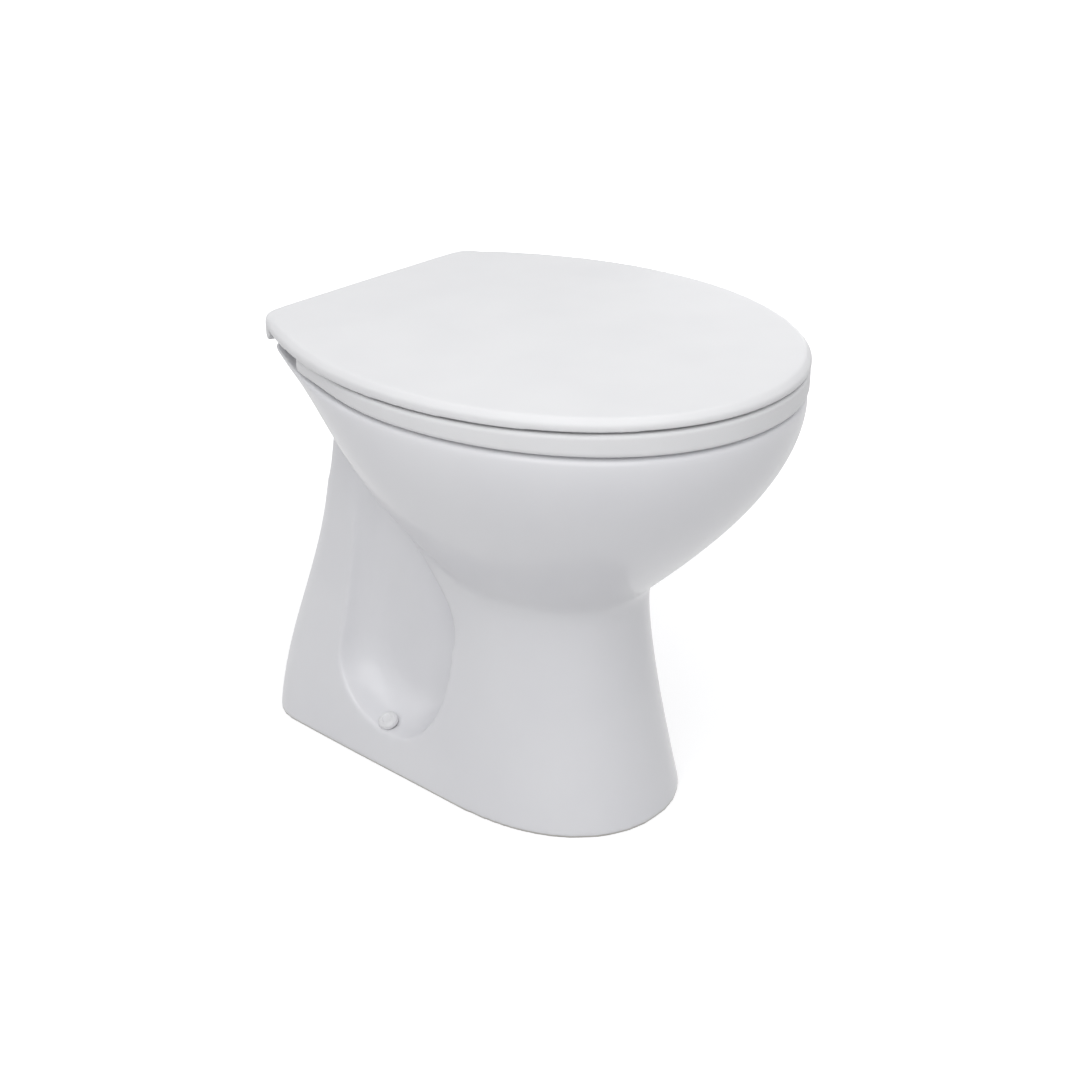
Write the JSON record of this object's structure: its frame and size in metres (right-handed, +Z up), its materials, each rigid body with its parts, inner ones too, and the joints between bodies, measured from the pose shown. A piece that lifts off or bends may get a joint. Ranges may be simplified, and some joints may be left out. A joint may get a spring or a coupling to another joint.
{
  "type": "toilet pan with seat and lid",
  "caption": "Floor-standing horizontal-outlet ceramic toilet pan with waisted pedestal and side recesses, moulded seat ring and domed lid on rear hinges.",
  "frame": {"origin": "on the floor, under the middle of the overall length and width", "axes": "+Z up, front of the pan towards -Y, hinge line along X"},
  "size_m": [0.364, 0.4811, 0.4198],
  "materials": {
    "china": "gloss glaze",
    "white_moulding": "gloss",
    "white_cap": "gloss",
    "white_nylon": "matt",
    "hinge_steel": "satin",
    "buffer_rubber": "matt"
  },
  "bodies": {
    "pan": {"pan_rim": "china", "pan_bowl": "china", "pan_sump": "china", "pan_pedestal": "china", "pan_trap": "china", "pan_inlet": "china", "hinge_bracket_left": "hinge_steel", "hinge_bracket_right": "hinge_steel", "bracket_gasket_left": "buffer_rubber", "bracket_gasket_right": "buffer_rubber", "hinge_pin_left": "hinge_steel", "hinge_pin_right": "hinge_steel", "hinge_bolt_left": "hinge_steel", "hinge_bolt_right": "hinge_steel", "cone_washer_left": "white_nylon", "cone_washer_right": "white_nylon", "wing_nut_left": "white_nylon", "wing_nut_right": "white_nylon", "fixing_sleeve_left": "white_nylon", "fixing_sleeve_right": "white_nylon", "fixing_cap_left": "white_cap", "fixing_cap_right": "white_cap"},
    "seat": {"seat_ring": "white_moulding", "seat_bush_left": "white_nylon", "seat_bush_right": "white_nylon", "seat_buffers_front": "buffer_rubber", "seat_buffers_rear": "buffer_rubber"},
    "lid": {"lid": "white_moulding", "lid_bush_left": "white_nylon", "lid_bush_right": "white_nylon", "lid_buffers": "buffer_rubber"}
  },
  "joints": [
    {"name": "seat_hinge", "type": "hinge", "parent": "pan", "child": "seat", "pos_m": [0, 0.1845, 0.4005], "axis": [-1, 0, 0], "range_deg": [0, 95]},
    {"name": "lid_hinge", "type": "hinge", "parent": "seat", "child": "lid", "pos_m": [0, 0.1845, 0.4005], "axis": [-1, 0, 0], "range_deg": [0, 90]}
  ]
}
